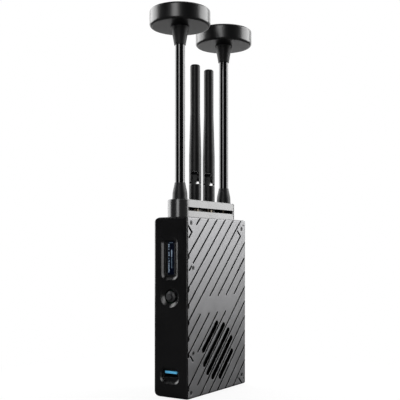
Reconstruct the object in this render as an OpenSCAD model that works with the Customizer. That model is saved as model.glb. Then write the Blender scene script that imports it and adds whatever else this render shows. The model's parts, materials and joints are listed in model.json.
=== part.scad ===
/* [Body] */
// width of the housing across the two ribbed sides
body_w = 32.4; // [32:0.1:33]
// depth of the housing from display face to connector face
body_d = 90; // [89.6:0.1:91]
// height of the housing
body_h = 140; // [139.6:0.1:142]
// wall thickness of the housing
wall = 2.2; // [2:0.1:2.4]
// thickness of the ribbed side cover
cover_t = 2.2; // [2:0.1:2.3]
// depth of the diagonal grooves
groove_d = 0.9; // [0.5:0.1:1]
// width of the diagonal grooves
groove_w = 1.6; // [0.8:0.1:1.8]
// width of the vent slots
slot_w = 4.6; // [3:0.1:5]

/* [Controls] */
// sideways position of the display, joystick and data port
ctrl_x = -1.6; // [-1.9:0.1:-1.3]
// height of the joystick
joy_z = 78.2; // [77.8:0.1:78.6]
// height of the display centre
disp_z = 107.7; // [107.4:0.1:108]
// height of the data port recess
usb_z = 17.3; // [17:0.1:17.6]

/* [Antennas] */
// distance of each mast from the centre
mast_y = 32.9; // [32.4:0.1:33.4]
// radius of the mast tube
tube_r = 4; // [3.8:0.05:4.2]
// radius of the round mast heads
pod_r = 24; // [20:0.5:26]
// height of the mast heads above the floor
pod_z = 289.5; // [280:0.5:300]
// thickness of the mast heads
pod_h = 13; // [11:0.5:16]
// depth position of the front whip
whip_f = -11.3; // [-12:0.1:-10.6]
// depth position of the rear whip
whip_b = 9.1; // [8.6:0.1:10]
// top of the whips above the floor
whip_top = 264.5; // [240:0.5:275]
// direction in which the whip hinge pins point
whip_a = 30; // [0:0.5:60]

/* [Hidden] */
$fn = 64;
hw = 15.5;                  // outer face of the ribbed cover
xl = hw - body_w;           // outer face of the closed side
hd = body_d / 2;
xs = hw - cover_t;          // seam between housing and cover
fan_y = -0.75;
fan_z = 33.1;
top_z = body_h;
block_z = body_h + 14;
pivot_z = block_z + 19.2;
e = 0.01;

// rectangle with its own radius at each corner, in the order low-low, high-low, high-high, low-high
module rrect(x0, y0, x1, y1, r) {
  difference() {
    translate([x0, y0]) square([x1 - x0, y1 - y0]);
    if (r[0] > 0) difference() { translate([x0 - 1, y0 - 1]) square(r[0] + 1); translate([x0 + r[0], y0 + r[0]]) circle(r[0]); }
    if (r[1] > 0) difference() { translate([x1 - r[1], y0 - 1]) square(r[1] + 1); translate([x1 - r[1], y0 + r[1]]) circle(r[1]); }
    if (r[2] > 0) difference() { translate([x1 - r[2], y1 - r[2]]) square(r[2] + 1); translate([x1 - r[2], y1 - r[2]]) circle(r[2]); }
    if (r[3] > 0) difference() { translate([x0 - 1, y1 - r[3]]) square(r[3] + 1); translate([x0 + r[3], y1 - r[3]]) circle(r[3]); }
  }
}
module box(x0, x1, y0, y1, z0, z1) { translate([x0, y0, z0]) cube([x1 - x0, y1 - y0, z1 - z0]); }
// cylinders along X, Y and Z from one coordinate to another
module rx(x0, x1, y, z, r) { translate([x0, y, z]) rotate([0, 90, 0]) cylinder(h = x1 - x0, r = r); }
module ry(y0, y1, x, z, r) { translate([x, y0, z]) rotate([-90, 0, 0]) cylinder(h = y1 - y0, r = r); }
module rz(z0, z1, x, y, r) { translate([x, y, z0]) cylinder(h = z1 - z0, r = r); }

// rounded outer shape of the whole housing, inset by i
module envelope(i) {
  intersection() {
    translate([0, 0, -1]) linear_extrude(body_h + 2) rrect(xl + i, -hd + i, hw - i, hd - i, [2.4 - i, 1.2 - i, 3 - i, 3 - i]);
    translate([xl - 1, 0, 0]) rotate([90, 0, 90]) linear_extrude(body_w + 2) rrect(-hd + i, i, hd - i, body_h - i, [1.5 - i, 5 - i, 5 - i, 1.5 - i]);
    rotate([90, 0, 0]) linear_extrude(body_d + 2, center = true) rrect(xl + i, i, hw - i, body_h - i, [6.6 - i, 1.5 - i, 1.5 - i, 6.6 - i]);
  }
}
// bar in the YZ plane with round ends, spanning x0 to x1
module bar(y1, z1, y2, z2, w, x0, x1) {
  l = sqrt((y2 - y1) * (y2 - y1) + (z2 - z1) * (z2 - z1));
  translate([x0, y1, z1]) rotate([atan2(z2 - z1, y2 - y1), 0, 0]) translate([0, 0, -w / 2]) cube([x1 - x0, l, w]);
  rx(x0, x1, y1, z1, w / 2 + 0.01);
  rx(x0, x1, y2, z2, w / 2 + 0.01);
}
gx = hw - groove_d;
// straight groove on the line z = y + c, from ya to yb, with a round end at a when ra = 1 and at b when rb = 1
module line(c, ya, yb, ra = 0, rb = 0) {
  translate([gx, ya, ya + c]) rotate([45, 0, 0]) translate([0, 0, -groove_w / 2]) cube([3, (yb - ya) * sqrt(2), groove_w]);
  if (ra == 1) rx(gx, gx + 3, ya, ya + c, groove_w / 2);
  if (rb == 1) rx(gx, gx + 3, yb, yb + c, groove_w / 2);
}
pitch = 12.6;
c0 = 3;
module cover_grooves() {
  for (k = [-2:2]) line(c0 + pitch * k, -c0 - pitch * k - 3, 48);
  line(c0 + pitch * 3, -30.8, 48, 1);
  line(c0 + pitch * 4, -48, 10.6, 0, 1);
  line(c0 + pitch * 4, 24.6, 48, 1);
  line(c0 + pitch * 5, -30.8, -2, 1, 1);
  line(c0 + pitch * 5, 12, 29, 1);
  line(c0 + pitch * 6, -48, -14.6, 0, 1);
  line(c0 + pitch * 6, -0.6, 48, 1);
  line(c0 + pitch * 7, -48, -27.2, 0, 1);
  line(c0 + pitch * 7, -13.2, 34.9, 1);
  line(c0 + pitch * 8, -48, 40);
  line(c0 + pitch * 9, -48, 28);
  line(c0 + pitch * 10, -48, 15);
  line(c0 + pitch * 11, -37.2, 2, 1);
  line(c0 + pitch * 12, -48, -10);
  line(c0 + pitch * 13, -32.5, -20, 1);
  // chevrons and short strokes round the screws
  bar(-44.5, 133, -39.1, 128, 1.9, gx, gx + 3);
  bar(-39.1, 128, -43, 124, 1.7, gx, gx + 3);
  bar(30.2, 130.4, 35, 126.2, 1.7, gx, gx + 3);
  bar(-41, 32.6, -37.6, 29, 1.7, gx, gx + 3);
  bar(-37.6, 29, -42.6, 23.4, 1.7, gx, gx + 3);
  bar(32.4, 5.6, 36.8, 1.5, 1.7, gx, gx + 3);
  bar(-39.8, 101.8, -42.6, 99, 1.6, gx, gx + 3);
  bar(29.5, 95.5, 41, 107, 1.9, gx, gx + 3);
  // scallops where the grooves reach the front edge
  for (z = [8.4, 33.6, 46.2, 58.8, 71.4, 84, 109.2]) rx(gx, gx + 3, -hd + lip - 0.4, z, 2.3);
}
module vents(x0, x1) {
  s = slot_w;
  h = 1.14;
  bar(-2 - h, 56.4 - h, -23.9 + h, 34.5 + h, s, x0, x1);
  bar(8.5 - h, 54.2 - h, -22.6 + h, 23.1 + h, s, x0, x1);
  bar(15.9 - h, 49.4 - h, -17.5 + h, 16 + h, s, x0, x1);
  bar(20.6 - h, 42.5 - h, -10.2 + h, 11.7 + h, s, x0, x1);
  bar(21.6 - h, 31.3 - h, 0.9 + h, 10.6 + h, s, x0, x1);
}
cover_pts = [[-40.2, 135.4], [36.6, 132.4], [-37.4, 100.5], [-37.2, 34.7], [-40.2, 4.8], [37.1, 8.2]];
lip = 0.8;
module cover_blank() { intersection() { envelope(0); box(xs, hw + 1, -hd + lip, hd + 1, -1, body_h + 1); } }
module side_cover() {
  color([0.3, 0.3, 0.31]) difference() {
    cover_blank();
    cover_grooves();
    vents(xs - 1, hw + 1);
    for (p = cover_pts) { rx(xs - 1, hw + 1, p[0], p[1], 1.1); rx(hw - 1.2, hw + 1, p[0], p[1], 1.8); }
    rx(hw - 1.2, hw + 1, 39.6, 135.5, 0.8);
    rx(hw - 1.2, hw + 1, 40.3, 4.8, 0.8);
    for (a = [-1, 1], b = [-1, 1]) rx(xs - 1, xs + 1.1, fan_y + a * 20, fan_z + b * 20, 1.3);
  }
}
module socket_screw_x(x1, y, z, l, rh, rs, hh) {
  difference() {
    union() { rx(x1 - hh, x1, y, z, rh); rx(x1 - l, x1 - hh + e, y, z, rs); }
    translate([x1 - hh * 0.7, y, z]) rotate([0, 90, 0]) cylinder(h = hh, r = rh * 0.5, $fn = 6);
  }
}
module cover_screws() {
  color([0.12, 0.12, 0.13]) for (p = cover_pts) socket_screw_x(hw - 0.25, p[0], p[1], 5.2, 1.7, 0.95, 0.95);
}

module left_grooves() {
  translate([xl + hw, 0, 0]) mirror([1, 0, 0]) for (k = [-2:13]) line(c0 + pitch * k, max(-48, -c0 - pitch * k - 3), min(48, body_h + 3 - c0 - pitch * k));
}
left_vents = [[-9, 9], [-14, 12], [-17, 14], [-15, 15], [-9, 14]];
front_frame = 2.2;
py = -hd + 3;               // back of the front panel
module main_housing() {
  color([0.1, 0.1, 0.11]) difference() {
    union() {
      difference() {
        intersection() { envelope(0); box(xl - 1, xs, py, hd + 1, -1, body_h + 1); }
        box(xl + wall, xs + 1, py + front_frame, hd - wall, wall, body_h - wall);
        // opening behind the front panel
        box(xl + 4.9, 9.3, py - 1, py + front_frame + 1, 8, body_h - 8);
      }
      // bosses for the cover screws
      box(9.3, xs, py, -37.6, body_h - 7.2, body_h - 1);
      box(9.3, xs, py, -37.6, 1, 7.4);
      for (z = [100.5, 34.7]) box(9.3, xs, py, -34.8, z - 2.7, z + 2.7);
      box(9.3, xs, 33.8, hd - 1, 129.4, body_h - 1);
      box(9.3, xs, 34.2, hd - 1, 1, 11);
      // boss for the mounting insert
      box(-8.5, 6.5, -8, 8, 1, 8);
    }
    for (p = cover_pts) rx(9.8, xs + 1, p[0], p[1], 0.97);
    left_grooves();
    for (k = [0:4]) bar(left_vents[k][0], left_vents[k][0] + 72.3 + pitch * k, left_vents[k][1], left_vents[k][1] + 72.3 + pitch * k, 3.6, xl - 1, xl + wall + 1);
    // rear opening and rebate for the connector panel
    box(-10, 8, hd - wall - 1, hd + 1, 22, 126);
    box(-12, 10, hd - 1.4, hd + 1, 17, 131);
    for (p = rear_pts) ry(hd - wall - 0.5, hd, p[0], p[1], 0.85);
    rz(-1, 7.7, -1, 0, 5.02);
    // cable and screw holes under the antenna block
    for (y = jack_y) rz(body_h - wall - 1, body_h + 1, 0, y, 2);
    for (y = block_pts) rz(body_h - wall - 1, body_h + 1, -4.6, y, 1.15);
    for (p = panel_pts) ry(py - 1, py + front_frame + 1, p[0], p[1], 1.1);
    for (p = board_pts) rx(xl + 1, xl + wall + 1, p[0], p[1], 0.01 + 1.25);
  }
}
board_pts = [[-25, 15], [29, 16], [-30, 128], [29, 130], [29, 70], [-30, 66]];
panel_pts = [[-9, 5.4], [6, 5.4], [-9, body_h - 5.2], [6, body_h - 5.2]];
rear_pts = [[-8, 19.4], [6, 19.4], [-8, 128.6], [6, 128.6]];
jack_y = [-mast_y, whip_f, whip_b, mast_y];
block_pts = [-22, -1.1, 21];

// pocket with sloping walls, sunk from z = 0 to z = -d in its own frame
module bevel_pocket(w, h, r, b, d) {
  t = 0.3;
  k = b / d;
  W = w + 2 * k * t;
  H = h + 2 * k * t;
  R = r + k * t;
  rotate([90, 0, 0]) linear_extrude(h - 2 * r, center = true) polygon([[-W / 2, t], [W / 2, t], [w / 2 - b, -d], [-w / 2 + b, -d]]);
  rotate([90, 0, 90]) linear_extrude(w - 2 * r, center = true) polygon([[-H / 2, t], [H / 2, t], [h / 2 - b, -d], [-h / 2 + b, -d]]);
  for (sx = [-1, 1], sy = [-1, 1]) translate([sx * (w / 2 - r), sy * (h / 2 - r), -d]) cylinder(h = d + t, r1 = r - b, r2 = R);
}
module on_front(x, z) { translate([x, -hd, z]) rotate([90, 0, 0]) children(); }
module front_panel() {
  color([0.03, 0.03, 0.035]) difference() {
    union() {
      intersection() {
        envelope(0);
        union() { box(xl - 1, xs, -hd - 1, py, -1, body_h + 1); box(xl - 1, hw + 1, -hd - 1, -hd + lip, -1, body_h + 1); }
      }
      for (p = ctrl_pts) ry(py - e, py + 3.8, p[0], p[1], 2);
    }
    on_front(ctrl_x, disp_z) bevel_pocket(15.4, 33, 4.6, 1.8, 1);
    on_front(ctrl_x, disp_z) bevel_pocket(11.3, 28.9, 2.5, 0.2, 2.3);
    box(ctrl_x - 3.3, ctrl_x + 3.1, -hd, py + 1, disp_z - 12.5, disp_z + 13.4);
    // joystick dish and its opening
    translate([ctrl_x, -hd - 10.77, joy_z]) sphere(r = 13.72, $fn = 96);
    ry(-hd, py + 1, ctrl_x, joy_z, 5.5);
    on_front(ctrl_x, usb_z) bevel_pocket(18.2, 13.4, 4.9, 1.5, 0.85);
    on_front(ctrl_x, usb_z) bevel_pocket(15, 10.2, 3.3, 0.2, 2.1);
    box(ctrl_x - 6.75, ctrl_x + 6.75, -hd, py + 1, usb_z + 1 - 3, usb_z + 1 + 3);
    for (p = panel_pts) ry(py - 1.7, py + 1, p[0], p[1], 0.82);
    for (p = ctrl_pts) ry(py - 1.2, py + 4, p[0], p[1], 0.82);
  }
}
ctrl_pts = [[-8, 64], [6, 64], [-1, 34], [-8, 128.4 - 5], [7, 45]];
module front_panel_screws() {
  color([0.5, 0.5, 0.52]) for (p = panel_pts) difference() {
    union() { ry(py - 1.5, py + front_frame, p[0], p[1], 0.8); ry(py + front_frame, py + front_frame + 1, p[0], p[1], 1.7); }
    translate([p[0], py + front_frame + 0.4, p[1]]) rotate([-90, 0, 0]) cylinder(h = 2, r = 0.8, $fn = 6);
  }
}
module rear_panel() {
  color([0.06, 0.06, 0.065]) difference() {
    union() { box(-11.95, 9.95, hd - 1.4, hd - 0.2, 17.05, 130.95); box(-9.9, 7.9, hd - wall, hd - 1.3, 22.1, 125.9); }
    for (z = bnc_z) ry(hd - 4, hd + 1, ctrl_x, z, 5.3);
    box(ctrl_x - 7.7, ctrl_x + 7.7, hd - 4, hd + 1, hdmi_z - 3.0, hdmi_z + 3.0);
    ry(hd - 4, hd + 1, ctrl_x, dc_z, 6.05);
    box(ctrl_x - 3.1, ctrl_x + 3.1, hd - 4, hd + 1, sw_z - 5.1, sw_z + 5.1);
    for (p = rear_pts) ry(hd - 4, hd + 1, p[0], p[1], 1.05);
  }
}
bnc_z = [98, 78];
hdmi_z = 58;
dc_z = 36;
sw_z = 115;
module rear_panel_screws() {
  color([0.2, 0.2, 0.21]) for (p = rear_pts) difference() {
    union() { ry(hd - wall - 0.4, hd - 0.1, p[0], p[1], 0.83); ry(hd - 0.2, hd + 0.7, p[0], p[1], 1.6); }
    translate([p[0], hd + 0.1, p[1]]) rotate([-90, 0, 0]) cylinder(h = 2, r = 0.75, $fn = 6);
  }
}
module bnc_jacks() {
  color([0.75, 0.75, 0.76]) for (z = bnc_z) difference() {
    union() {
      ry(hd - 8, hd + 10.4, ctrl_x, z, 4.8);
      ry(hd - 0.2, hd + 0.9, ctrl_x, z, 6.8);
      translate([ctrl_x, hd + 0.9, z]) rotate([-90, 0, 0]) cylinder(h = 2.2, r = 6.6, $fn = 6);
      translate([ctrl_x, hd - 4.6, z]) rotate([-90, 0, 0]) cylinder(h = 2.4, r = 6.6, $fn = 6);
      ry(hd - 2.3, hd - 0.1, ctrl_x, z, 5.25);
      rx(ctrl_x - 5.6, ctrl_x + 5.6, hd + 7.6, z, 1);
    }
    ry(hd + 1, hd + 11, ctrl_x, z, 4.05);
    ry(hd - 9, hd + 2, ctrl_x, z, 2.3);
  }
}
module bnc_centres() {
  color([0.9, 0.88, 0.8]) for (z = bnc_z) {
    difference() { ry(hd - 8, hd + 6.4, ctrl_x, z, 2.25); ry(hd + 2, hd + 7, ctrl_x, z, 0.95); }
    ry(hd - 10, hd - 8, ctrl_x, z, 0.6);
  }
}
module hdmi_shell() {
  color([0.7, 0.7, 0.72]) difference() {
    box(ctrl_x - 7.6, ctrl_x + 7.6, hd - 12, hd - 0.1, hdmi_z - 2.9, hdmi_z + 2.9);
    box(ctrl_x - 7.2, ctrl_x + 7.2, hd - 11.4, hd + 1, hdmi_z - 2.5, hdmi_z + 2.5);
  }
}
module hdmi_tongue() { color([0.05, 0.05, 0.05]) box(ctrl_x - 6.2, ctrl_x + 6.2, hd - 11.4, hd - 1.4, hdmi_z - 0.7, hdmi_z + 0.7); }
module dc_inlet() {
  color([0.35, 0.35, 0.36]) difference() {
    union() { ry(hd - 10, hd + 1.6, ctrl_x, dc_z, 6); ry(hd - 0.2, hd + 1.2, ctrl_x, dc_z, 7.4); ry(hd - 4.2, hd - wall, ctrl_x, dc_z, 7.6); }
    ry(hd - 6.4, hd + 3, ctrl_x, dc_z, 4.3);
  }
}
module dc_pins() {
  color([0.85, 0.7, 0.3]) for (a = [-1, 1]) ry(hd - 6.4, hd + 0.4, ctrl_x + a * 1.6, dc_z, 0.65);
}
module power_switch_body() {
  color([0.05, 0.05, 0.05]) difference() {
    box(ctrl_x - 3, ctrl_x + 3, hd - 7, hd - 0.3, sw_z - 5, sw_z + 5);
    box(ctrl_x - 1.8, ctrl_x + 1.8, hd - 4.2, hd + 1, sw_z - 3.6, sw_z + 3.6);
  }
}
module power_switch_slider() {
  color([0.6, 0.6, 0.6]) {
    box(ctrl_x - 1.65, ctrl_x + 1.65, hd - 4.05, hd - 1.8, sw_z - 3.4, sw_z + 0.4);
    box(ctrl_x - 1.4, ctrl_x + 1.4, hd - 1.8 - e, hd + 1.2, sw_z - 3.1, sw_z + 0.1);
  }
}
module tripod_insert() {
  color([0.75, 0.62, 0.3]) difference() { rz(0.3, 7.7, -1, 0, 5); rz(-1, 7, -1, 0, 2.6); }
}

// boards and parts on them
bx = xl + wall + 3.7;
module main_board() {
  color([0.05, 0.2, 0.1]) difference() {
    box(bx, bx + 1.6, -34, 32.5, 12, 134);
    for (p = board_pts) rx(bx - 1, bx + 3, p[0], p[1], 1.35);
  }
}
module board_standoffs() {
  color([0.7, 0.7, 0.72]) {
    for (p = board_pts) difference() { rx(xl + wall, bx, p[0], p[1], 2.6); rx(xl, bx + 1, p[0], p[1], 1.25); }
    for (p = radio_pts) difference() { rx(bx + 1.6, 3, p[0], p[1], 2.2); rx(0, 4, p[0], p[1], 1.1); }
  }
}
radio_pts = [[-24, 74], [24, 82], [-24, 127], [24, 127]];
module pan_screw(x0, y, z, l, rh, rs) {
  difference() {
    union() { rx(x0, x0 + 1.2, y, z, rh); rx(x0 - l, x0 + e, y, z, rs); }
    rx(x0 + 0.5, x0 + 2, y, z, rh * 0.42);
  }
}
module board_screws() {
  color([0.6, 0.6, 0.62]) {
    for (p = board_pts) pan_screw(bx + 1.6, p[0], p[1], 6.2, 2.2, 1.2);
    for (p = radio_pts) pan_screw(4.2, p[0], p[1], 3.4, 1.9, 1.0);
  }
}
module processor_chip() { color([0.1, 0.1, 0.1]) { box(bx + 1.6, bx + 3.2, fan_y - 11, fan_y + 11, fan_z - 11, fan_z + 11); } }
module thermal_pad() { color([0.6, 0.6, 0.75]) box(bx + 3.2, bx + 3.7, fan_y - 10, fan_y + 10, fan_z - 10, fan_z + 10); }
module heatsink() {
  color([0.45, 0.46, 0.48]) {
    difference() {
      box(bx + 3.7, 2.2, fan_y - 21, fan_y + 21, fan_z - 19, fan_z + 20);
      for (k = [-5:5]) box(bx + 5.2, 3, fan_y + k * 3.6 - 1.1, fan_y + k * 3.6 + 1.1, fan_z - 30, fan_z + 30);
    }
  }
}
module radio_board() {
  color([0.05, 0.15, 0.3]) difference() {
    box(3, 4.2, -36, 36, 68, 132);
    for (p = radio_pts) rx(0, 6, p[0], p[1], 1.15);
  }
}
module radio_shield_cans() {
  color([0.75, 0.75, 0.76]) for (y = [-17, 10]) difference() {
    box(4.2, 7.6, y - 9, y + 13, 84, 122);
    box(4.1, 7.3, y - 8.7, y + 12.7, 84.3, 121.7);
  }
}
module rf_connectors() { color([0.85, 0.7, 0.35]) for (y = jack_y) rx(-1.4, 3, y, 122, 1.9); }
module fan_frame() {
  color([0.08, 0.08, 0.08]) {
    difference() {
      box(3.3, xs, fan_y - 25, fan_y + 25, fan_z - 25, fan_z + 25);
      rx(2, xs + 1, fan_y, fan_z, 23.2);
      for (a = [-1, 1], b = [-1, 1]) rx(2, xs + 1, fan_y + a * 20, fan_z + b * 20, 1.4);
    }
    rx(3.3, 4.5, fan_y, fan_z, 10);
    for (a = [0:90:270]) translate([3.3, fan_y, fan_z]) rotate([a + 20, 0, 0]) translate([0, 8, -1]) cube([1.2, 15.8, 2]);
    rx(4.4, 10.6, fan_y, fan_z, 1.5);
  }
}
module fan_rotor() {
  color([0.16, 0.16, 0.17]) difference() {
    union() {
      rx(5, 12.4, fan_y, fan_z, 11.4);
      for (k = [0:6]) translate([8.7, fan_y, fan_z]) rotate([k * 360 / 7, 0, 0]) intersection() {
        translate([0, 16.2, 0]) rotate([0, 0, 0]) rotate([0, 38, 0]) translate([-5, -6.2, -0.6]) cube([10, 12.4, 1.2]);
        rx(-3.4, 3.4, 0, 0, 22.4);
      }
    }
    difference() { rx(4, 11.6, fan_y, fan_z, 10.4); rx(3, 12, fan_y, fan_z, 3); }
    rx(4, 10.9, fan_y, fan_z, 1.55);
  }
}
module fan_screws() {
  color([0.6, 0.6, 0.62]) for (a = [-1, 1], b = [-1, 1]) translate([0, fan_y + a * 20, fan_z + b * 20]) difference() {
    union() { rx(2.2, 3.3, 0, 0, 2.3); rx(2.9, xs + 1, 0, 0, 1.25); }
    rx(1, 2.8, 0, 0, 0.9);
  }
}
// front control board with display, joystick switch and data port
by = py + 3.8;
module control_board() {
  color([0.04, 0.18, 0.1]) difference() {
    box(-11, 9, by, by + 1.2, 10, 128);
    box(ctrl_x - 7.2, ctrl_x + 7.2, by - 1, by + 3, usb_z + 1 - 3.4, usb_z + 1 + 3.4);
    for (p = ctrl_pts) ry(by - 1, by + 3, p[0], p[1], 0.9);
  }
}
module display_window() { color([0.02, 0.03, 0.06]) box(ctrl_x - 3.2, ctrl_x + 3, -hd + 2.35, py, disp_z - 12.4, disp_z + 13.3); }
module display_panel() { color([0.05, 0.07, 0.12]) box(ctrl_x - 5.2, ctrl_x + 5.2, py, py + 1.3, disp_z - 14.6, disp_z + 13.6); }
module nav_switch_body() {
  color([0.1, 0.1, 0.1]) difference() {
    box(ctrl_x - 4.5, ctrl_x + 4.5, by - 2.2, by, joy_z - 4.5, joy_z + 4.5);
    ry(by - 3, by - 0.5, ctrl_x, joy_z, 2.6);
  }
}
module nav_switch_plunger() {
  color([0.7, 0.7, 0.7]) { ry(by - 2.5, by - 1, ctrl_x, joy_z, 2.52); ry(by - 2.8, by - 2.4, ctrl_x, joy_z, 0.9); }
}
module nav_switch_rocker() {
  color([0.6, 0.6, 0.6]) difference() {
    union() { ry(by - 3.65, by - 3.15, ctrl_x, joy_z, 3); rx(ctrl_x - 4, ctrl_x + 4, by - 3.4, joy_z, 0.45); }
    ry(by - 4.5, by - 2, ctrl_x, joy_z, 2);
  }
}
module joystick_stem() {
  color([0.3, 0.3, 0.3]) { rz(joy_z - 1.6, joy_z + 1.6, ctrl_x, by - 3.4, 0.5); ry(by - 6.4, by - 3.4, ctrl_x, joy_z, 0.9); }
}
module joystick_cap() {
  color([0.07, 0.07, 0.075]) translate([ctrl_x, by, joy_z]) rotate([90, 0, 0]) difference() {
    union() {
      translate([0, 0, 4.5]) cylinder(h = 0.7, r = 4.3);
      translate([0, 0, 5.2 - e]) cylinder(h = 0.9, r1 = 4.3, r2 = 2.65);
      translate([0, 0, 6]) cylinder(h = 1.65, r = 2.65);
      translate([0, 0, 7.65 - e]) cylinder(h = 0.25, r1 = 2.65, r2 = 2.4);
    }
    translate([0, 0, 4]) cylinder(h = 2.45, r = 0.92);
  }
}
module usb_shell() {
  color([0.75, 0.75, 0.76]) difference() {
    box(ctrl_x - 6.6, ctrl_x + 6.6, -hd + 2.6, by + 9, usb_z + 1 - 2.85, usb_z + 1 + 2.85);
    box(ctrl_x - 6.2, ctrl_x + 6.2, -hd + 1, by + 8, usb_z + 1 - 2.45, usb_z + 1 + 2.45);
  }
}
module usb_tongue() { color([0.1, 0.55, 0.9]) box(ctrl_x - 5.55, ctrl_x + 5.55, -hd + 2.2, by + 8, usb_z + 1.2, usb_z + 3.04); }

// antenna block and what it carries
module stadium(z0, z1, r, l) {
  rz(z0, z1, -0.3, -l, r);
  rz(z0, z1, -0.3, l, r);
  box(-0.3 - r, -0.3 + r, -l, l, z0, z1);
}
module antenna_block() {
  color([0.4, 0.4, 0.41]) difference() {
    union() {
      stadium(top_z, block_z - 0.5, 9.4, mast_y);
      stadium(block_z - 0.5 - e, block_z, 8.9, mast_y);
    }
    difference() {
      stadium(top_z - 1, block_z - 2.6, 7.2, mast_y);
      for (y = block_pts) rz(top_z - 1, block_z, -4.6, y, 2.6);
    }
    box(0, 12, -34.4, 32.9, 145.1, 147.9);
    for (y = jack_y) rz(top_z, block_z + 1, 0, y, 3.05);
    for (y = block_pts) rz(top_z - 1, top_z + 6, -4.6, y, 0.97);
  }
}
module antenna_block_screws() {
  color([0.6, 0.6, 0.62]) for (y = block_pts) difference() {
    union() { rz(top_z - wall - 0.6, top_z + 5.4, -4.6, y, 0.95); rz(top_z - wall - 1.2, top_z - wall, -4.6, y, 1.9); }
    rz(top_z - wall - 2, top_z - wall - 0.7, -4.6, y, 0.8);
  }
}
module antenna_jacks() {
  color([0.85, 0.7, 0.35]) {
    for (y = [-mast_y, mast_y]) { rz(block_z - 10, block_z + 5.6, 0, y, 3); rz(block_z - 5, block_z - 2.6, 0, y, 5.4); }
    for (y = [whip_f, whip_b]) { rz(block_z - 10, block_z, 0, y, 3); rz(block_z - 5, block_z - 2.6, 0, y, 4.6); rz(block_z - 0.1, block_z + 6.2, 0, y, 2.5); }
  }
}
module coax_leads() {
  color([0.5, 0.33, 0.15]) for (y = jack_y) rz(123.9, block_z - 10, 0, y, 0.7);
}
module mast_ferrule(y) {
  color([0.14, 0.14, 0.15]) translate([0, y, block_z]) difference() {
    union() {
      cylinder(h = 0.8, r = 6.1);
      cylinder(h = 5.3, r1 = 6, r2 = 5.8);
      translate([0, 0, 5.3 - e]) cylinder(h = 2.2, r1 = 5.8, r2 = 5.4);
      translate([0, 0, 7.5 - 2 * e]) cylinder(h = 4.6, r1 = 5.4, r2 = 4.4);
      translate([0, 0, 12.1 - 3 * e]) cylinder(h = 1.2, r1 = 4.4, r2 = 4.25);
    }
    translate([0, 0, -1]) cylinder(h = 7.2, r = 3.05);
    translate([0, 0, 6.2 - e]) cylinder(h = 12, r = tube_r + 0.03);
  }
}
module mast_tube(y) {
  color([0.02, 0.02, 0.02]) translate([0, y, 0]) difference() { rz(block_z + 6.3, pod_z + 1.4, 0, 0, tube_r); rz(block_z, pod_z + 3, 0, 0, tube_r - 0.8); }
}
module mast_neck(y) {
  color([0.1, 0.1, 0.1]) translate([0, y, 0]) difference() {
    union() {
      translate([0, 0, pod_z - 14]) cylinder(h = 11.8 + e, r1 = 4.5, r2 = 6.6);
      translate([0, 0, pod_z - 2.2]) cylinder(h = 2.2, r1 = 6.6, r2 = 7.3);
    }
    rz(pod_z - 15, pod_z + 1, 0, 0, tube_r + 0.03);
  }
}
module mast_pod_base(y) {
  color([0.12, 0.12, 0.12]) translate([0, y, 0]) difference() {
    union() { rz(pod_z, pod_z + 1.5, 0, 0, pod_r - 2.3); rz(pod_z + 1.4, pod_z + 3.4, 0, 0, 6.2); }
    rz(pod_z - 1, pod_z + 4, 0, 0, tube_r + 0.03);
  }
}
module mast_pod_cap(y) {
  color([0.06, 0.06, 0.06]) translate([0, y, pod_z]) difference() {
    union() {
      rotate_extrude($fn = 128) { square([pod_r - 2, pod_h]); translate([0, 2]) square([pod_r, pod_h - 4]); translate([pod_r - 2, 2]) circle(2); translate([pod_r - 2, pod_h - 2]) circle(2); }
    }
    rz(1.5, pod_h - 1.6, 0, 0, pod_r - 1.8);
    rz(-1, 2, 0, 0, pod_r - 2.25);
  }
}
module mast_elements() {
  color([0.8, 0.6, 0.3]) for (y = [-mast_y, mast_y]) {
    rz(block_z + 5.6, pod_z + 5, 0, y, 1.1);
    rz(pod_z + 4.8, pod_z + 6, 0, y, 18);
    difference() { rz(pod_z + 3.4, pod_z + 4.8, 0, y, 5.6); rz(pod_z, pod_z + 4.6, 0, y, 1.05); }
  }
}
// whip knuckle, in a frame where the hinge pin lies along X through the pivot
module whip_base(y) {
  color([0.05, 0.05, 0.05]) translate([0, y, 0]) rotate([0, 0, whip_a]) difference() {
    union() {
      rz(block_z + 0.15, block_z + 13.7, 0, 0, 5);
      intersection() {
        union() { rx(-2.9, 1.7, 0, pivot_z, 4.6); box(-2.9, 1.7, -4.6, 4.6, block_z + 13, pivot_z); }
        rz(block_z, pivot_z + 10, 0, 0, 4.9);
      }
    }
    rz(block_z - 1, block_z + 6.6, 0, 0, 2.56);
    rx(-6, 6, 0, pivot_z, 1.26);
    // open corner beside the tongue
    rotate([90, 0, 0]) linear_extrude(14, center = true) polygon([[2.2, block_z + 13.7], [0.1, block_z + 13.7], [2.2, block_z + 17.9]]);
  }
}
module whip_arm(y) {
  color([0.05, 0.05, 0.05]) translate([0, y, 0]) rotate([0, 0, whip_a]) difference() {
    union() {
      intersection() {
        rz(pivot_z - 6, pivot_z + 6, 0, 0, 5);
        union() { rx(-6, 6, 0, pivot_z, 5.1); box(-6, 6, -6, 6, pivot_z, pivot_z + 8); }
      }
      rz(pivot_z + 5.5, pivot_z + 18, 0, 0, 5);
      translate([0, 0, pivot_z + 18 - e]) cylinder(h = 35, r1 = 5, r2 = 4);
      rz(pivot_z + 53 - 2 * e, whip_top - 1.6, 0, 0, 4);
      translate([0, 0, whip_top - 1.6 - e]) rotate_extrude() { square([2.4, 1.6]); translate([2.4, 0]) intersection() { circle(1.6); square(2); } }
    }
    box(-3, 1.8, -6, 6, pivot_z - 7, pivot_z + 4.9);
    box(1.7, 3.2, -6, 6, pivot_z - 7, pivot_z + 3.7);
    rx(-4.6, 4.4, 0, pivot_z, 1.22);
  }
}
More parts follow.
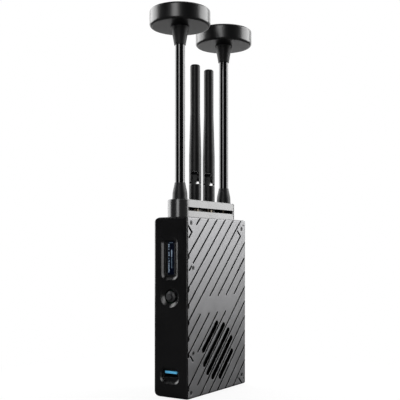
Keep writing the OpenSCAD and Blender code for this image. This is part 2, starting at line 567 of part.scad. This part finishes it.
module whip_pin(y) {
  color([0.5, 0.5, 0.5]) translate([0, y, 0]) rotate([0, 0, whip_a]) { rx(-4.5, 4.3, 0, pivot_z, 1.2); rx(1.85, 3.15, 0, pivot_z, 3.4); }
}

main_housing();
front_panel();
side_cover();
cover_screws();
front_panel_screws();
rear_panel();
rear_panel_screws();
tripod_insert();
main_board();
board_standoffs();
board_screws();
processor_chip();
thermal_pad();
heatsink();
radio_board();
radio_shield_cans();
rf_connectors();
fan_frame();
fan_rotor();
fan_screws();
control_board();
display_window();
display_panel();
nav_switch_body();
nav_switch_plunger();
nav_switch_rocker();
joystick_stem();
joystick_cap();
usb_shell();
usb_tongue();
bnc_jacks();
bnc_centres();
hdmi_shell();
hdmi_tongue();
dc_inlet();
dc_pins();
power_switch_body();
power_switch_slider();
antenna_block();
antenna_block_screws();
antenna_jacks();
coax_leads();
mast_ferrule(-mast_y);  // mast_front_ferrule
mast_tube(-mast_y);  // mast_front_tube
mast_neck(-mast_y);  // mast_front_neck
mast_pod_base(-mast_y);  // mast_front_pod_base
mast_pod_cap(-mast_y);  // mast_front_pod_cap
mast_ferrule(mast_y);  // mast_rear_ferrule
mast_tube(mast_y);  // mast_rear_tube
mast_neck(mast_y);  // mast_rear_neck
mast_pod_base(mast_y);  // mast_rear_pod_base
mast_pod_cap(mast_y);  // mast_rear_pod_cap
mast_elements();
whip_base(whip_f);  // whip_front_base
whip_arm(whip_f);  // whip_front_arm
whip_pin(whip_f);  // whip_front_pin
whip_base(whip_b);  // whip_rear_base
whip_arm(whip_b);  // whip_rear_arm
whip_pin(whip_b);  // whip_rear_pin
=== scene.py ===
import json
import math
import random
import bpy
import bmesh
from mathutils import Matrix, Vector

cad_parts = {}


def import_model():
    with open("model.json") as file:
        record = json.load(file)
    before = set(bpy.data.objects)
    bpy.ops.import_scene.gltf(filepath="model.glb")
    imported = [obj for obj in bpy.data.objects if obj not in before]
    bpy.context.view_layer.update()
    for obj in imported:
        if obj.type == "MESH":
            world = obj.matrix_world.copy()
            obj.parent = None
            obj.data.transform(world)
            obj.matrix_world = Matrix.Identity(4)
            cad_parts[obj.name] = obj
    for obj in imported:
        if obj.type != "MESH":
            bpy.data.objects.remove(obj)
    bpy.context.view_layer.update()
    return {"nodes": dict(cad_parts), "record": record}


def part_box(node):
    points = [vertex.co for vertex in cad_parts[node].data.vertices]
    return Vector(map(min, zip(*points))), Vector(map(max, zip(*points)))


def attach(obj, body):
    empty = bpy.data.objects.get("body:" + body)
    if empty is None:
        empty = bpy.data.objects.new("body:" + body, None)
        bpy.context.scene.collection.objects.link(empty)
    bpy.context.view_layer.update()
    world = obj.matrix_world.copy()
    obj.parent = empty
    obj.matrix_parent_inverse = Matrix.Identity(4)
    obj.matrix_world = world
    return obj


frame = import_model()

N = frame["nodes"]
mm = 0.001

# ---------------------------------------------------------------- materials


def new_mat(name):
    m = bpy.data.materials.new(name)
    m.use_nodes = True
    t = m.node_tree
    t.nodes.clear()
    out = t.nodes.new("ShaderNodeOutputMaterial")
    bsdf = t.nodes.new("ShaderNodeBsdfPrincipled")
    t.links.new(bsdf.outputs[0], out.inputs[0])
    return m, t, bsdf


def node(t, kind, **kw):
    n = t.nodes.new(kind)
    for k, v in kw.items():
        if hasattr(n, k):
            setattr(n, k, v)
        else:
            n.inputs[k.replace("_", " ")].default_value = v
    return n


def ramp(t, src, a, b, ca, cb):
    r = t.nodes.new("ShaderNodeMapRange")
    r.inputs["From Min"].default_value = a
    r.inputs["From Max"].default_value = b
    r.inputs["To Min"].default_value = ca
    r.inputs["To Max"].default_value = cb
    t.links.new(src, r.inputs["Value"])
    return r.outputs[0]


def mixc(t, fac, a, b, kind="MIX"):
    n = t.nodes.new("ShaderNodeMix")
    n.data_type = "RGBA"
    n.blend_type = kind
    for sock, v in ((n.inputs[0], fac), (n.inputs[6], a), (n.inputs[7], b)):
        if hasattr(v, "type") and hasattr(v, "node"):
            t.links.new(v, sock)
        elif isinstance(v, (tuple, list)):
            sock.default_value = (*v, 1) if len(v) == 3 else v
        else:
            sock.default_value = v
    return n.outputs[2]


def math_node(t, op, a, b=None):
    n = t.nodes.new("ShaderNodeMath")
    n.operation = op
    for i, v in enumerate((a, b)):
        if v is None:
            continue
        if hasattr(v, "node"):
            t.links.new(v, n.inputs[i])
        else:
            n.inputs[i].default_value = v
    return n.outputs[0]


def noise(t, scale, detail=3.0, rough=0.55, stretch=None, rot=None):
    tc = t.nodes.new("ShaderNodeTexCoord")
    src = tc.outputs["Object"]
    if stretch or rot:
        mp = t.nodes.new("ShaderNodeMapping")
        if rot:
            mp.inputs["Rotation"].default_value = rot
        if stretch:
            mp.inputs["Scale"].default_value = stretch
        t.links.new(src, mp.inputs["Vector"])
        src = mp.outputs[0]
    n = t.nodes.new("ShaderNodeTexNoise")
    n.inputs["Scale"].default_value = scale
    n.inputs["Detail"].default_value = detail
    n.inputs["Roughness"].default_value = rough
    t.links.new(src, n.inputs["Vector"])
    return n.outputs["Fac"]


def finish_mat(name, color, rough=0.45, metal=0.0, spec=0.5, var=0.12, rvar=0.08,
               grain=5200, bump=0.000004, big=60, wear_and_edge_highlight=0.0, wear_and_edge_highlight_color=None, bevel=0.00025,
               coat=0.0, coat_rough=0.1, stretch=None, rot=None, grime=0.0, sheen=0.0):
    m, t, b = new_mat(name)
    big_n = noise(t, big, 4)
    fine_n = noise(t, grain, 2, 0.6, stretch, rot)
    mid_n = noise(t, grain / 9, 3, 0.6, stretch, rot)
    lo = tuple(c * (1 - var) for c in color)
    hi = tuple(min(1, c * (1 + var)) for c in color)
    col = mixc(t, ramp(t, big_n, 0.3, 0.7, 0, 1), lo, hi)
    col = mixc(t, ramp(t, fine_n, 0.35, 0.65, 0, 0.5), col, tuple(c * (1 - var * 1.2) for c in color))
    nrm = None
    if bevel:
        bv = node(t, "ShaderNodeBevel", samples=4)
        bv.inputs["Radius"].default_value = bevel
        nrm = bv.outputs[0]
    # Edge wear and painted edge highlight: the base colour lightens where the bevelled normal departs from the surface
    # normal.
    if wear_and_edge_highlight and bevel:
        g = t.nodes.new("ShaderNodeNewGeometry")
        d = t.nodes.new("ShaderNodeVectorMath")
        d.operation = "DOT_PRODUCT"
        t.links.new(bv.outputs[0], d.inputs[0])
        t.links.new(g.outputs["Normal"], d.inputs[1])
        edge = ramp(t, d.outputs["Value"], 0.985, 0.9, 0, 1)
        edge = math_node(t, "MULTIPLY", edge, ramp(t, mid_n, 0.35, 0.62, 0.15, 1))
        edge = math_node(t, "MULTIPLY", edge, wear_and_edge_highlight)
        col = mixc(t, edge, col, wear_and_edge_highlight_color or tuple(min(1, c * 3 + 0.08) for c in color))
    t.links.new(col, b.inputs["Base Color"])
    r = ramp(t, big_n, 0.3, 0.7, max(0.02, rough - rvar * 0.35), min(1, rough + rvar * 0.35))
    t.links.new(r, b.inputs["Roughness"])
    b.inputs["Metallic"].default_value = metal
    b.inputs["Specular IOR Level"].default_value = spec
    if coat:
        b.inputs["Coat Weight"].default_value = coat
        b.inputs["Coat Roughness"].default_value = coat_rough
    if sheen:
        b.inputs["Sheen Weight"].default_value = sheen
    if bump:
        bp = t.nodes.new("ShaderNodeBump")
        bp.inputs["Strength"].default_value = 0.35
        bp.inputs["Distance"].default_value = bump
        t.links.new(fine_n, bp.inputs["Height"])
        if nrm:
            t.links.new(nrm, bp.inputs["Normal"])
        nrm = bp.outputs[0]
    if nrm:
        t.links.new(nrm, b.inputs["Normal"])
    return m


def emit_mat(name, color, strength):
    m, t, b = new_mat(name)
    n = noise(t, 900, 2)
    t.links.new(mixc(t, ramp(t, n, 0.3, 0.7, 0, 1), tuple(c * 0.85 for c in color), color), b.inputs["Emission Color"])
    b.inputs["Base Color"].default_value = (0.02, 0.02, 0.02, 1)
    b.inputs["Emission Strength"].default_value = strength
    b.inputs["Roughness"].default_value = 0.4
    return m


def cover_mat(name, color, face_x, z_top):
    """Anodised ribbed plate with a fine diagonal grain; painted shade darkens the grooves, except near the top edge
    fillet.
    """
    m = finish_mat(name, color, 0.4, 0.85, wear_and_edge_highlight=0.5, wear_and_edge_highlight_color=(0.75, 0.75, 0.76), bevel=0.00035,
                   bump=0.00001, grain=2600, stretch=(1, 0.16, 1), rot=(math.radians(-45), 0, 0), var=0.1)
    t = m.node_tree
    p = [n for n in t.nodes if n.type == "BSDF_PRINCIPLED"][0]
    col = p.inputs["Base Color"].links[0].from_socket
    tc = t.nodes.new("ShaderNodeTexCoord")
    sep = t.nodes.new("ShaderNodeSeparateXYZ")
    t.links.new(tc.outputs["Object"], sep.inputs[0])
    # Painted shade: the base colour goes near black behind the rib face (in the grooves), but not on the top edge
    # fillet.
    painted_groove_shade = ramp(t, sep.outputs[0], face_x - 0.00003, face_x - 0.00016, 0, 1)
    groove_shade_below_top_edge = ramp(t, sep.outputs[2], z_top - 0.0016, z_top - 0.0022, 0, 1)
    f = math_node(t, "MULTIPLY", painted_groove_shade, groove_shade_below_top_edge)
    t.links.new(mixc(t, f, col, (0.003, 0.003, 0.003)), p.inputs["Base Color"])
    return m


MAT = {
    "housing": finish_mat("housing_black", (0.014, 0.014, 0.015), 0.36, 0.0, spec=0.45, wear_and_edge_highlight=0.25, bevel=0.0005),
    "cover": cover_mat("cover_anodised_painted_groove_shade", (0.118, 0.118, 0.121), 0.0155, 0.140),
    "panel": finish_mat("panel_black", (0.0022, 0.0022, 0.0026), 0.24, 0.0, spec=0.36, wear_and_edge_highlight=0.1, bevel=0.0007, var=0.1, bump=0.0000012),
    "screw": finish_mat("screw_black", (0.012, 0.012, 0.013), 0.4, 0.5, wear_and_edge_highlight=0.2),
    "steel": finish_mat("steel_plain", (0.5, 0.5, 0.51), 0.3, 1.0),
    "board": finish_mat("board_mask", (0.01, 0.05, 0.025), 0.35, coat=0.4),
    "chip": finish_mat("chip_black", (0.015, 0.015, 0.016), 0.5),
    "pad": finish_mat("pad_soft", (0.6, 0.58, 0.52), 0.7),
    "alu": finish_mat("alu_extruded", (0.45, 0.46, 0.48), 0.4, 0.9, stretch=(1, 1, 0.05)),
    "gold": finish_mat("gold_plate", (0.75, 0.55, 0.22), 0.28, 1.0),
    "jack": finish_mat("jack_dark", (0.11, 0.095, 0.075), 0.35, 1.0),
    "fanp": finish_mat("fan_plastic", (0.006, 0.006, 0.0065), 0.55, spec=0.25),
    "fanhub": finish_mat("fan_hub", (0.05, 0.05, 0.052), 0.5),
    "glass": finish_mat("window_dark", (0.0015, 0.003, 0.010), 0.08, spec=0.4, bump=0, bevel=0.0002, rvar=0.03),
    "oled": finish_mat("oled_glass", (0.004, 0.008, 0.025), 0.2, bump=0),
    "black": finish_mat("black_moulded", (0.010, 0.010, 0.010), 0.45),
    "blue": finish_mat("usb_blue", (0.13, 0.58, 1.0), 0.35, bevel=0.0001),
    "rubber": finish_mat("whip_rubber", (0.0018, 0.0018, 0.002), 0.46, spec=0.2, grain=3500, bump=0.000008),
    "mast": finish_mat("mast_gloss", (0.0015, 0.0015, 0.0018), 0.12, spec=0.6, rvar=0.01, bump=0, bevel=0),
    "pod": finish_mat("pod_satin", (0.0022, 0.0022, 0.0026), 0.29, spec=0.5, bump=0.0000012, bevel=0.0005, rvar=0.03),
    "ferrule": finish_mat("ferrule_satin", (0.0025, 0.0025, 0.003), 0.45, spec=0.22, bump=0.000002, bevel=0.0003),
    "neck": finish_mat("neck_matte", (0.004, 0.004, 0.0045), 0.55, spec=0.2, bump=0.000006, bevel=0.0003),
    "block": finish_mat("block_anodised", (0.018, 0.018, 0.0185), 0.24, 0.0, spec=0.6, wear_and_edge_highlight=0.35, wear_and_edge_highlight_color=(0.3, 0.3, 0.3), bevel=0.0004, bump=0.0000015, var=0.06),
    "coax": finish_mat("coax_jacket", (0.2, 0.1, 0.04), 0.4),
    "nickel": finish_mat("nickel_plate", (0.62, 0.61, 0.6), 0.22, 1.0),
    "dull": finish_mat("port_shell_dark", (0.035, 0.035, 0.038), 0.4, 0.9),
    "knob": finish_mat("knob_rubber", (0.018, 0.018, 0.02), 0.5, spec=0.4, bevel=0.0003),
}
slot_of = {s["node"]: s["material_slot"] for s in frame["record"]["subparts"]}
special = {"joystick_cap": "knob", "fan_rotor": "fanhub", "usb_tongue": "blue", "usb_shell": "dull",
           "antenna_jacks": "jack", "whip_front_pin": "rubber", "whip_rear_pin": "rubber",
           "mast_front_ferrule": "ferrule", "mast_rear_ferrule": "ferrule",
           "mast_front_neck": "neck", "mast_rear_neck": "neck"}
for name, o in N.items():
    m = MAT[special.get(name, slot_of.get(name, "black"))]
    if o.data.materials:
        for i in range(len(o.data.materials)):
            o.data.materials[i] = m
    else:
        o.data.materials.append(m)

# ---------------------------------------------------------------- details carried by the CAD parts


def solid_from(name, boxes, mat, body, bevel=0.0):
    """One mesh of small bevelled blocks, each given by its lowest and highest corner in millimetres."""
    me = bpy.data.meshes.new(name)
    bm = bmesh.new()
    for lo, hi in boxes:
        vs = [bm.verts.new((x * mm, y * mm, z * mm)) for x in (lo[0], hi[0]) for y in (lo[1], hi[1]) for z in (lo[2], hi[2])]
        for q in ((0, 1, 3, 2), (4, 6, 7, 5), (0, 4, 5, 1), (2, 3, 7, 6), (0, 2, 6, 4), (1, 5, 7, 3)):
            bm.faces.new([vs[i] for i in q])
    bmesh.ops.recalc_face_normals(bm, faces=bm.faces)
    if bevel:
        bmesh.ops.bevel(bm, geom=list(bm.edges), offset=bevel * mm, segments=2, affect="EDGES")
    bm.to_mesh(me)
    bm.free()
    o = bpy.data.objects.new(name, me)
    bpy.context.scene.collection.objects.link(o)
    o.data.materials.append(mat)
    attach(o, body)
    return o


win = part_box("display_window")
wx0, wy, wz1 = win[0][0] / mm, win[0][1] / mm, win[1][2] / mm
rnd = random.Random(5)


def column(x, w, z_hi, z_lo):
    cells = []
    z = z_hi
    while z - 0.4 > z_lo:
        h = rnd.choice((0.35, 0.5, 0.65))
        a = rnd.uniform(0, 0.35) * w
        c = w - rnd.uniform(0, 0.3) * w
        cells.append(((x + a, wy - 0.05, z - h), (x + c, wy + 0.02, z)))
        z -= h + 0.22
    return cells


mark_hi = emit_mat("display_marks", (0.30, 0.40, 0.52), 0.75)
mark_lo = emit_mat("display_marks_dim", (0.12, 0.2, 0.28), 0.5)
cells = []
for hi, lo in ((119.0, 116.1), (115.5, 114.1), (112.9, 109.7), (106.4, 104.5), (104.2, 97.2)):
    cells += column(wx0 + 0.45, 1.35, hi, lo)
cells += column(wx0 + 3.15, 1.3, 114.6, 108.6)
solid_from("display_marks_a", cells, mark_hi, "chassis")
cells = column(wx0 + 3.15, 1.2, 108.4, 100.6) + column(wx0 + 0.6, 1.0, 108.3, 107.1)
cells.append(((wx0 + 1.5, wy - 0.05, 119.9), (wx0 + 4.9, wy + 0.02, 120.25)))
solid_from("display_marks_b", cells, mark_lo, "chassis")

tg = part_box("usb_tongue")
tx0, ty0, tz0 = tg[0][0] / mm, tg[0][1] / mm, tg[0][2] / mm
pads = [((tx0 + 2.05 + k * 2.33 - 0.5, ty0 + 0.4, tz0 - 0.12), (tx0 + 2.05 + k * 2.33 + 0.5, ty0 + 6, tz0 + 0.05)) for k in range(4)]
solid_from("usb_contacts", pads, MAT["gold"], "chassis", 0.03)

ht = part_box("hdmi_tongue")
hx0, hx1, hy1 = ht[0][0] / mm, ht[1][0] / mm, ht[1][1] / mm
pads = []
for side in (0, 1):
    zz = (ht[1][2] / mm if side else ht[0][2] / mm)
    n = 10 if side else 9
    for k in range(n):
        c = hx0 + 0.8 + (k + 0.5 * (1 - side)) * 1.15
        pads.append(((c - 0.25, hy1 - 5, zz - 0.05), (c + 0.25, hy1 - 0.3, zz + 0.05)))
solid_from("hdmi_contacts", pads, MAT["gold"], "chassis")

# ---------------------------------------------------------------- stage, light and camera

fwd = Vector((-0.5481, 0.8364, 0.0))
right = Vector((0.8364, 0.5481, 0.0))
bpy.context.scene.view_settings.view_transform = "Standard"
bpy.context.scene.view_settings.look = "None"


def stage_floor():
    me = bpy.data.meshes.new("floor")
    bm = bmesh.new()
    bmesh.ops.create_circle(bm, cap_ends=True, segments=96, radius=6)
    bm.to_mesh(me)
    bm.free()
    o = bpy.data.objects.new("floor", me)
    bpy.context.scene.collection.objects.link(o)
    o.location.z = -0.0002
    m, t, b = new_mat("floor_pale")
    n = noise(t, 8, 3)
    t.links.new(mixc(t, n, (0.86, 0.86, 0.86), (0.9, 0.9, 0.9)), b.inputs["Base Color"])
    b.inputs["Roughness"].default_value = 0.9
    b.inputs["Specular IOR Level"].default_value = 0.1
    tc = t.nodes.new("ShaderNodeTexCoord")
    ln = t.nodes.new("ShaderNodeVectorMath")
    ln.operation = "LENGTH"
    t.links.new(tc.outputs["Object"], ln.inputs[0])
    f = ramp(t, ln.outputs["Value"], 0.02, 0.22, 0.8, 1)
    em = t.nodes.new("ShaderNodeEmission")
    em.inputs[0].default_value = (1, 1, 1, 1)
    em.inputs[1].default_value = 1.0
    mx = t.nodes.new("ShaderNodeMixShader")
    t.links.new(f, mx.inputs[0])
    t.links.new(b.outputs[0], mx.inputs[1])
    t.links.new(em.outputs[0], mx.inputs[2])
    dim = t.nodes.new("ShaderNodeBsdfDiffuse")
    t.links.new(mixc(t, n, (0.10, 0.10, 0.10), (0.12, 0.12, 0.12)), dim.inputs["Color"])
    lp = t.nodes.new("ShaderNodeLightPath")
    both = t.nodes.new("ShaderNodeMixShader")
    t.links.new(lp.outputs["Is Camera Ray"], both.inputs[0])
    t.links.new(dim.outputs[0], both.inputs[1])
    t.links.new(mx.outputs[0], both.inputs[2])
    t.links.new(both.outputs[0], [x for x in t.nodes if x.type == "OUTPUT_MATERIAL"][0].inputs[0])
    o.data.materials.append(m)


stage_floor()


def world():
    """White to the eye, dim to the object: the panels below do the lighting."""
    w = bpy.data.worlds.new("studio")
    bpy.context.scene.world = w
    w.use_nodes = True
    t = w.node_tree
    t.nodes.clear()
    out = t.nodes.new("ShaderNodeOutputWorld")
    lit = t.nodes.new("ShaderNodeBackground")
    lit.inputs[0].default_value = (1, 1, 1, 1)
    lit.inputs[1].default_value = 0.05
    seen = t.nodes.new("ShaderNodeBackground")
    seen.inputs[0].default_value = (1, 1, 1, 1)
    lp = t.nodes.new("ShaderNodeLightPath")
    mx = t.nodes.new("ShaderNodeMixShader")
    t.links.new(lp.outputs["Is Camera Ray"], mx.inputs[0])
    t.links.new(lit.outputs[0], mx.inputs[1])
    t.links.new(seen.outputs[0], mx.inputs[2])
    t.links.new(mx.outputs[0], out.inputs[0])


world()


def panel(name, azimuth, distance, z, width, height, level, aim=0.15):
    """Soft light panel; azimuth in degrees from straight behind the object, positive to the right of the picture."""
    a = math.radians(azimuth)
    p = (fwd * math.cos(a) + right * math.sin(a)) * distance + Vector((0, 0, z))
    l = bpy.data.lights.new(name, "AREA")
    l.shape = "RECTANGLE"
    l.size = width
    l.size_y = height
    l.energy = level * 4 * width * height
    o = bpy.data.objects.new(name, l)
    bpy.context.scene.collection.objects.link(o)
    o.location = p
    o.rotation_euler = (Vector((0, 0, aim)) - p).to_track_quat("-Z", "Y").to_euler()
    o.visible_camera = False
    return o


panel("sweep_back", 0, 1.5, 0.6, 2.4, 1.8, 1.5)
panel("key_right", 76, 1.3, 0.62, 1.2, 1.2, 5.4)
panel("key_left", -66, 1.3, 0.5, 1.1, 1.4, 4.6)
panel("front_strip", 197, 1.3, 0.35, 0.46, 1.7, 4.6)
panel("top_soft", 40, 0.5, 1.5, 0.8, 0.8, 1.2)

cam = bpy.data.cameras.new("camera")
cam.sensor_width = 36
cam.lens = 66.5
cam.shift_y = 0.128
cam.clip_start = 0.01
co = bpy.data.objects.new("camera", cam)
bpy.context.scene.collection.objects.link(co)
co.location = (0.3316, -0.5101, 0.1135)
co.rotation_euler = (math.radians(90), 0, math.radians(33.24))
bpy.context.scene.camera = co
